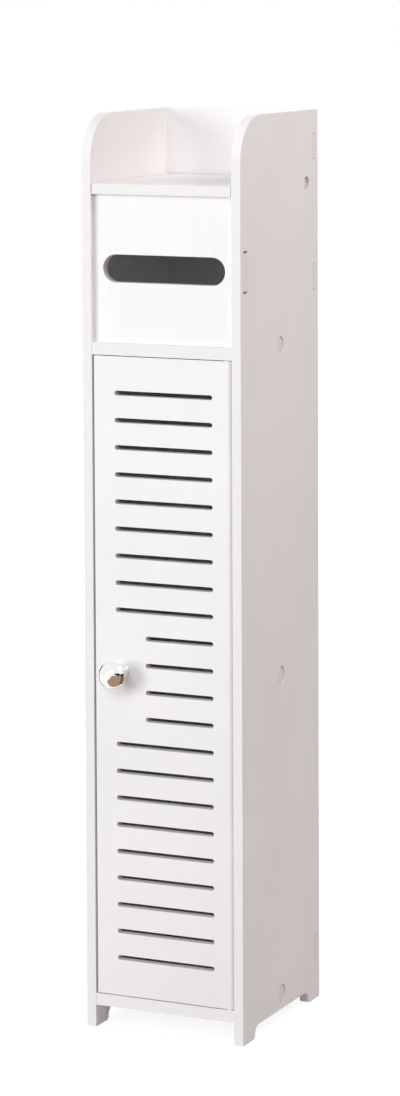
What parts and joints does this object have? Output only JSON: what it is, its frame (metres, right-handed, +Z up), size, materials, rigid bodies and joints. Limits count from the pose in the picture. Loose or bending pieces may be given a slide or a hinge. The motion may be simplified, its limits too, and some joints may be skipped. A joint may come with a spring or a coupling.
{
  "type": "toilet roll storage cabinet",
  "caption": "Tall narrow white bathroom cabinet with open top tray, flap lid, dispensing slot, slatted pivot-hung door, shelves and cut-out feet.",
  "frame": {"origin": "on the floor, under the middle of the whole cabinet's box, knob included", "axes": "+X to the cabinet's right seen from the front, +Y to the back, +Z up; the door and the slot face -Y"},
  "size_m": [0.15, 0.193, 0.8],
  "materials": {
    "pvc_board": "white foamed PVC board, satin skin",
    "pvc_door": "white foamed PVC board, satin skin",
    "white_nylon": "moulded white nylon, satin",
    "chrome_plate": "mirror chrome plate on die-cast zinc",
    "zinc_steel": "bright zinc-plated steel",
    "ferrite": "sintered ferrite magnet, dull grey",
    "beech": "plain beech dowel"
  },
  "bodies": {
    "carcass": {"left_side_panel": "pvc_board", "right_side_panel": "pvc_board", "back_panel": "pvc_board", "bottom_shelf": "pvc_board", "inner_shelf": "pvc_board", "middle_shelf": "pvc_board", "dispenser_front": "pvc_board", "shelf_screws": "zinc_steel", "screw_caps": "white_nylon", "shelf_dowels": "beech", "catch_housing": "white_nylon", "catch_magnet": "ferrite", "catch_pole_plates": "zinc_steel", "catch_screws": "zinc_steel"},
    "lid_flap": {"lid": "pvc_board", "lid_pivot_pins": "white_nylon"},
    "door_leaf": {"door": "pvc_door", "upper_pivot_pin": "white_nylon", "lower_pivot_pin": "white_nylon", "knob": "chrome_plate", "knob_screw": "zinc_steel", "strike_plate": "zinc_steel", "strike_screw": "zinc_steel"}
  },
  "joints": [
    {"name": "door_hinge", "type": "hinge", "parent": "carcass", "child": "door_leaf", "pos_m": [0.0611, -0.0645, 0.3], "axis": [0, 0, 1], "range_deg": [0, 100]},
    {"name": "lid_hinge", "type": "hinge", "parent": "carcass", "child": "lid_flap", "pos_m": [0, 0.0715, 0.736], "axis": [-1, 0, 0], "range_deg": [0, 96]}
  ]
}
